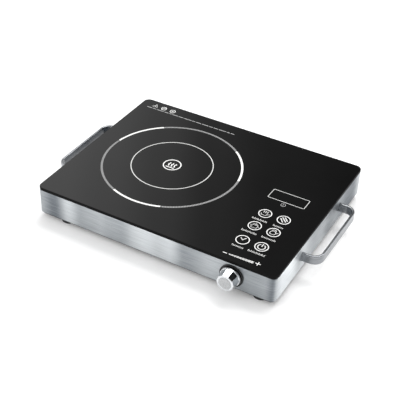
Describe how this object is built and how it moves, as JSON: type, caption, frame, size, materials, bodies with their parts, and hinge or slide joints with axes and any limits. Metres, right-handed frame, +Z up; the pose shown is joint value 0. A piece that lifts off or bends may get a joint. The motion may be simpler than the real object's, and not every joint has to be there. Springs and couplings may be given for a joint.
{
  "type": "portable induction cooktop",
  "caption": "Portable single-zone induction cooktop: black glass plate with offset round cooking zone and touch panel, brushed steel band, side strap handles, front power knob and rubber feet.",
  "frame": {"origin": "bottom centre of the bounding box, on the surface that the feet stand on", "axes": "+Z up; -Y towards the user, the side of the knob; +X to the user's right, the side of the touch panel"},
  "size_m": [0.4104, 0.3046, 0.05],
  "materials": {
    "ceramic_glass": "polished black glass-ceramic, printed on top",
    "silicone": "black silicone bead",
    "brushed_band": "stainless sheet, brushed along its length",
    "pan_plastic": "black moulded plastic, fine texture",
    "foot_rubber": "black rubber",
    "zinc_screw": "zinc-plated steel",
    "handle_steel": "satin stainless strap",
    "bracket_steel": "galvanised sheet",
    "knob_plating": "bright chrome plating",
    "knob_disc": "spun disc",
    "bezel_plastic": "dark gloss plastic",
    "component_plastic": "black moulded part",
    "nickel_brass": "nickel-plated brass",
    "shaft_metal": "turned shaft",
    "mica": "mica sheet",
    "coil_wire": "lacquered copper litz winding",
    "former_plastic": "heat-resistant moulded plastic",
    "ferrite": "sintered ferrite",
    "spring_wire": "spring wire",
    "sensor_ceramic": "ceramic",
    "circuit_board": "green lacquered board",
    "display_plastic": "tinted display face",
    "light_plastic": "clear indicator",
    "sink_metal": "extruded aluminium",
    "film_box": "yellow boxed capacitor",
    "can_sleeve": "sleeved can",
    "choke_wire": "lacquered copper winding",
    "core_steel": "laminated core",
    "terminal_plastic": "pale moulded block",
    "lead_jacket": "insulated lead",
    "ribbon_jacket": "flat cable"
  },
  "bodies": {
    "cooktop": {"glass_top": "ceramic_glass", "glass_seal": "silicone", "housing_band": "brushed_band", "base_pan": "pan_plastic", "pan_screws": "zinc_screw", "foot_front_left": "foot_rubber", "foot_front_right": "foot_rubber", "foot_rear_left": "foot_rubber", "foot_rear_right": "foot_rubber", "foot_screws": "zinc_screw", "handle_left": "handle_steel", "handle_right": "handle_steel", "handle_brackets": "bracket_steel", "handle_screws": "zinc_screw", "knob_bezel": "bezel_plastic", "encoder_body": "component_plastic", "encoder_bush": "nickel_brass", "encoder_washer": "zinc_screw", "encoder_nut": "nickel_brass", "cord_gland": "component_plastic", "gland_nut": "component_plastic", "terminal_block": "terminal_plastic", "earth_terminal": "nickel_brass", "mica_sheet": "mica", "induction_coil": "coil_wire", "coil_former": "former_plastic", "ferrite_bars": "ferrite", "coil_screws": "zinc_screw", "coil_springs": "spring_wire", "sensor_holder": "sensor_ceramic", "temperature_sensor": "component_plastic", "sensor_spring": "spring_wire", "board_carrier": "component_plastic", "control_board": "circuit_board", "board_screws": "zinc_screw", "touch_springs": "spring_wire", "key_lights": "light_plastic", "display_module": "display_plastic", "controller_chip": "component_plastic", "power_board": "circuit_board", "heat_sink": "sink_metal", "power_transistor": "component_plastic", "bridge_rectifier": "component_plastic", "film_capacitors": "film_box", "can_capacitors": "can_sleeve", "filter_choke": "choke_wire", "supply_transformer": "core_steel", "fuse": "sensor_ceramic", "buzzer": "component_plastic", "control_ribbon": "ribbon_jacket", "power_leads": "lead_jacket", "fan_frame": "component_plastic", "fan_stator": "choke_wire", "fan_screws": "zinc_screw"},
    "knob": {"knob": "knob_plating", "knob_cap": "knob_disc", "encoder_shaft": "shaft_metal"},
    "fan_rotor": {"fan_rotor": "component_plastic", "fan_shaft": "shaft_metal"}
  },
  "joints": [
    {"name": "knob_turn", "type": "hinge", "parent": "cooktop", "child": "knob", "pos_m": [0.1195, -0.1341, 0.0275], "axis": [0, -1, 0], "continuous": true},
    {"name": "fan_spin", "type": "hinge", "parent": "cooktop", "child": "fan_rotor", "pos_m": [0.118, 0.0756, 0.02], "axis": [0, 0, 1], "continuous": true}
  ]
}
